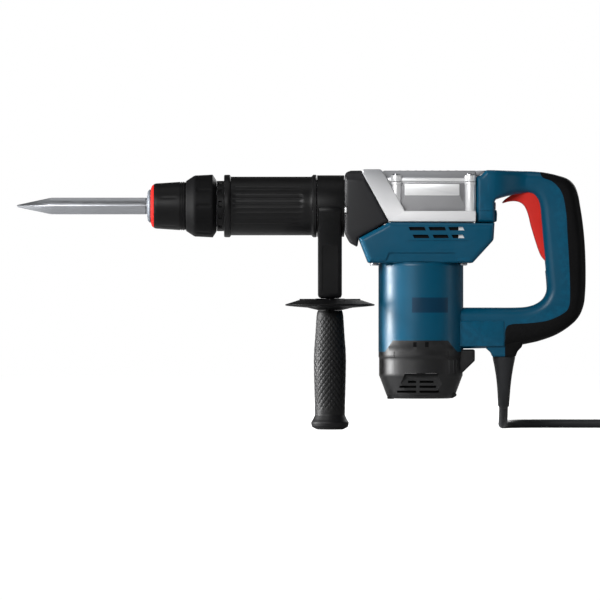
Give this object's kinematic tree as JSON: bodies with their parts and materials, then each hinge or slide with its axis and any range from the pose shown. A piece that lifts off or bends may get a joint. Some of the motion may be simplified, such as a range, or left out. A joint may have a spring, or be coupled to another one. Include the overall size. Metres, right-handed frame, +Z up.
{
  "type": "electric jackhammer",
  "caption": "Mains demolition hammer with a bull point chisel, crank-driven hammer mechanism, side handle, rear D-handle with trigger, and a coiled cord with its plug.",
  "frame": {"origin": "on the hammer axis at the mouth of the tool holder", "axes": "+X along the hammer axis away from the chisel, +Z up away from the motor, +Y to the far side; it stands on the side grip's end cap"},
  "size_m": [0.843, 0.212, 0.2896],
  "materials": {
    "steel": "ground",
    "nose_cap": "satin",
    "red_plastic": "gloss",
    "black_plastic": "fine grain",
    "bronze": "turned",
    "black_rubber": "matt",
    "cast_aluminium": "cast",
    "dark_cover": "fine grain",
    "blue_plastic": "fine grain",
    "copper": "wound",
    "carbon": "pressed",
    "white_plastic": "moulded"
  },
  "bodies": {
    "frame": {"neck_ring": "black_plastic", "holder_bearing": "bronze", "guide_bush": "bronze", "damper_ring": "black_rubber", "hammer_tube": "steel", "barrel_housing": "cast_aluminium", "barrel_sleeve": "black_plastic", "front_cover": "dark_cover", "ball_bearings": "steel", "gear_housing": "cast_aluminium", "gearbox_base": "cast_aluminium", "gearbox_cover": "cast_aluminium", "cover_screws": "steel", "lower_casing": "blue_plastic", "casing_screws": "steel", "motor_housing": "blue_plastic", "stator": "copper", "carbon_brushes": "carbon", "motor_end_cap": "dark_cover", "rear_bracket": "blue_plastic", "handle_near": "blue_plastic", "handle_far": "blue_plastic", "handle_rubber": "black_rubber", "handle_screws": "steel", "trigger_pin": "steel", "switch_block": "black_plastic", "cord_boot": "black_rubber", "cord_lead": "black_rubber", "cord_coil": "black_rubber", "cord_tie": "black_rubber", "cord_tail": "black_rubber", "mains_plug": "black_rubber"},
    "spindle": {"tool_holder": "steel", "nose_cap": "nose_cap", "angle_ring": "black_plastic", "sleeve_spring": "steel"},
    "sleeve": {"locking_sleeve": "black_plastic", "red_ring": "red_plastic", "retaining_ring": "steel"},
    "ball_near": {"locking_ball_near": "steel"},
    "ball_far": {"locking_ball_far": "steel"},
    "tool": {"chisel": "steel"},
    "beat_piece": {"beat_piece": "steel"},
    "striker": {"striker": "steel", "striker_ring": "black_rubber"},
    "piston": {"piston": "cast_aluminium", "piston_ring": "black_rubber", "wrist_pin": "steel"},
    "rod": {"connecting_rod": "steel", "crank_pin": "steel"},
    "crank": {"crank_gear": "steel"},
    "armature": {"armature": "steel", "commutator": "copper", "fan": "black_plastic"},
    "trigger": {"trigger": "red_plastic"},
    "plunger": {"switch_plunger": "white_plastic"},
    "side_handle": {"clamp_band": "black_plastic", "clamp_bolt": "steel"},
    "side_grip": {"hand_guard": "black_plastic", "side_grip": "black_rubber"}
  },
  "joints": [
    {"name": "angle_turn", "type": "hinge", "parent": "frame", "child": "spindle", "pos_m": [0.065, 0, 0], "axis": [1, 0, 0], "continuous": true},
    {"name": "sleeve_slide", "type": "slide", "parent": "spindle", "child": "sleeve", "axis": [1, 0, 0], "range_m": [0, 0.008], "stiffness_N_per_m": 2500, "springref_m": -0.004},
    {"name": "ball_near_slide", "type": "slide", "parent": "spindle", "child": "ball_near", "axis": [0, -1, 0], "range_m": [0, 0.0032]},
    {"name": "ball_far_slide", "type": "slide", "parent": "spindle", "child": "ball_far", "axis": [0, 1, 0], "range_m": [0, 0.0032]},
    {"name": "chisel_slide", "type": "slide", "parent": "spindle", "child": "tool", "axis": [-1, 0, 0], "range_m": [0, 0.012]},
    {"name": "beat_piece_slide", "type": "slide", "parent": "spindle", "child": "beat_piece", "axis": [-1, 0, 0], "range_m": [0, 0.012]},
    {"name": "striker_slide", "type": "slide", "parent": "frame", "child": "striker", "axis": [1, 0, 0], "range_m": [0, 0.024]},
    {"name": "piston_slide", "type": "slide", "parent": "frame", "child": "piston", "axis": [-1, 0, 0], "range_m": [0, 0.024]},
    {"name": "rod_swing", "type": "hinge", "parent": "piston", "child": "rod", "pos_m": [0.2504, 0, 0], "axis": [0, 0, 1], "range_deg": [-6.9, 6.9]},
    {"name": "armature_turn", "type": "hinge", "parent": "frame", "child": "armature", "pos_m": [0.3054, 0, -0.12], "axis": [0, 0, 1], "continuous": true},
    {"name": "crank_turn", "type": "hinge", "parent": "frame", "child": "crank", "pos_m": [0.3334, 0, -0.03], "axis": [0, 0, 1], "continuous": true},
    {"name": "trigger_pull", "type": "hinge", "parent": "frame", "child": "trigger", "pos_m": [0.449, 0, -0.063], "axis": [0, 1, 0], "range_deg": [0, 6], "stiffness_Nm_per_rad": 1.5, "springref_deg": -8.59},
    {"name": "plunger_slide", "type": "slide", "parent": "frame", "child": "plunger", "axis": [1, 0, 0], "range_m": [0, 0.0056]},
    {"name": "side_handle_swing", "type": "hinge", "parent": "frame", "child": "side_handle", "pos_m": [0.204, 0, 0], "axis": [1, 0, 0], "continuous": true},
    {"name": "grip_twist", "type": "hinge", "parent": "side_handle", "child": "side_grip", "pos_m": [0.204, 0, -0.2], "axis": [0, 0, 1], "range_deg": [0, 540]}
  ],
  "couplings": [
    {"joint": "ball_near_slide", "follows": "sleeve_slide", "ratio": 0.4},
    {"joint": "ball_far_slide", "follows": "sleeve_slide", "ratio": 0.4},
    {"joint": "beat_piece_slide", "follows": "chisel_slide", "ratio": 1},
    {"joint": "crank_turn", "follows": "armature_turn", "ratio": -0.16667},
    {"joint": "plunger_slide", "follows": "trigger_pull", "m_per_rad": 0.053}
  ]
}
